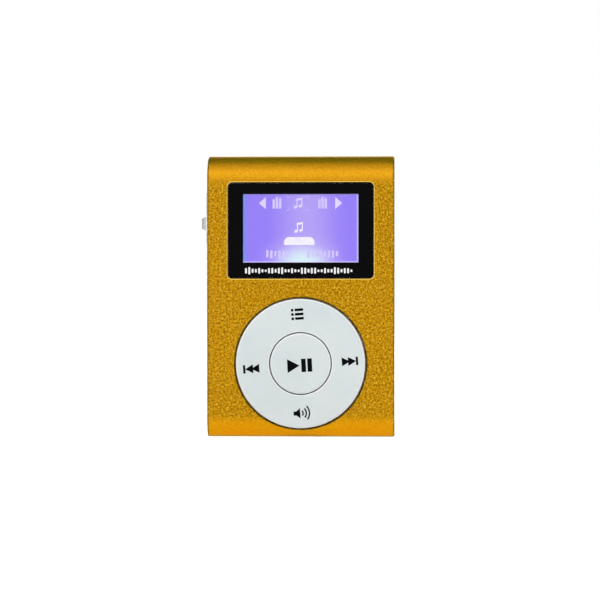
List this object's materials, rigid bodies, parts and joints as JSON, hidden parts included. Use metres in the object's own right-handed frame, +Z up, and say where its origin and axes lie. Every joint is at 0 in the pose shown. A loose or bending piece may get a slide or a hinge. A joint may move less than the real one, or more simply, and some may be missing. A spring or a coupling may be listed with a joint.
{
  "type": "digital audio player",
  "caption": "Clip-on digital audio player: gold aluminium housing with a display window, a rocking ring round a play key, a side power slider, end sockets and a sprung back clip.",
  "frame": {"origin": "centre of the flat underside, midway across the housing's width and depth", "axes": "+Z up along the height, +X to the right of someone facing the display, the display and keys face -Y"},
  "size_m": [0.0353, 0.0156, 0.0511],
  "materials": {
    "anodised_gold": "orange-gold anodised over a fine blasted grain, satin",
    "white_plastic": "white, smooth",
    "key_plastic": "cool pale grey-white, smooth satin",
    "knob_plastic": "pale translucent white",
    "clear_window": "clear, polished",
    "black_mask": "printed black film",
    "black_foam": "closed-cell foam",
    "display_glass": "lit violet-blue screen",
    "light_guide": "milky acrylic",
    "display_frame": "moulded white frame",
    "copper_film": "amber film with copper tracks",
    "silicone": "grey silicone",
    "switch_steel": "stamped steel",
    "black_plastic": "black moulding",
    "ivory_plastic": "ivory moulding",
    "green_board": "green solder resist",
    "screw_steel": "zinc plated",
    "chip_black": "black epoxy with tinned legs",
    "crystal_can": "nickel plated can",
    "ceramic": "brown ceramic with tinned ends",
    "contact_gold": "gold plated",
    "socket_steel": "tinned steel sheet",
    "battery_foil": "laminated foil",
    "amber_board": "amber taped circuit board",
    "red_lead": "red insulation",
    "black_lead": "black insulation",
    "white_foam": "double-sided foam tape",
    "pin_steel": "ground steel",
    "spring_steel": "drawn spring wire"
  },
  "bodies": {
    "housing": {"housing": "anodised_gold", "left_end_cap": "white_plastic", "right_end_cap": "white_plastic", "window_plate": "clear_window", "window_mask": "black_mask", "display_gasket": "black_foam", "display_glass": "display_glass", "display_backlight": "light_guide", "display_frame": "display_frame", "display_flex": "copper_film", "key_switches": "switch_steel", "power_switch_case": "switch_steel", "chassis": "ivory_plastic", "main_board": "green_board", "board_screws": "screw_steel", "audio_processor": "chip_black", "clock_crystal": "crystal_can", "voltage_regulator": "chip_black", "chip_components": "ceramic", "headphone_socket": "black_plastic", "headphone_contacts": "contact_gold", "usb_shell": "socket_steel", "usb_tongue": "black_plastic", "usb_contacts": "contact_gold", "card_socket_base": "black_plastic", "card_socket_cover": "socket_steel", "card_contacts": "contact_gold", "battery_pouch": "battery_foil", "battery_guard": "amber_board", "battery_lead_red": "red_lead", "battery_lead_black": "black_lead", "battery_tape": "white_foam", "hinge_pin": "pin_steel"},
    "ring_web": {"ring_pad": "silicone"},
    "ring": {"ring_button": "key_plastic"},
    "play_key": {"play_button": "key_plastic", "play_pad": "silicone"},
    "power_slider": {"power_knob": "knob_plastic", "power_lever": "black_plastic"},
    "clip": {"clip": "anodised_gold", "clip_spring": "spring_steel"}
  },
  "joints": [
    {"name": "clip_hinge", "type": "hinge", "parent": "housing", "child": "clip", "pos_m": [0, 0.0072, 0.04], "axis": [1, 0, 0], "range_deg": [0, 25], "stiffness_Nm_per_rad": 0.016, "springref_deg": -89.95, "deforming": ["clip_spring"]},
    {"name": "ring_tilt_up_down", "type": "hinge", "parent": "housing", "child": "ring_web", "pos_m": [0, -0.00385, 0.0133], "axis": [1, 0, 0], "range_deg": [-1.2, 1.2], "stiffness_Nm_per_rad": 0.5, "deforming": ["ring_pad"]},
    {"name": "ring_tilt_left_right", "type": "hinge", "parent": "ring_web", "child": "ring", "pos_m": [0, -0.00385, 0.0133], "axis": [0, 0, 1], "range_deg": [-1.2, 1.2], "stiffness_Nm_per_rad": 0.5},
    {"name": "play_press", "type": "slide", "parent": "housing", "child": "play_key", "axis": [0, 1, 0], "range_m": [0, 0.00025], "stiffness_N_per_m": 4000, "springref_m": -0.0001, "deforming": ["play_pad"]},
    {"name": "power_slide", "type": "slide", "parent": "housing", "child": "power_slider", "axis": [0, 0, 1], "range_m": [0, 0.002]}
  ]
}
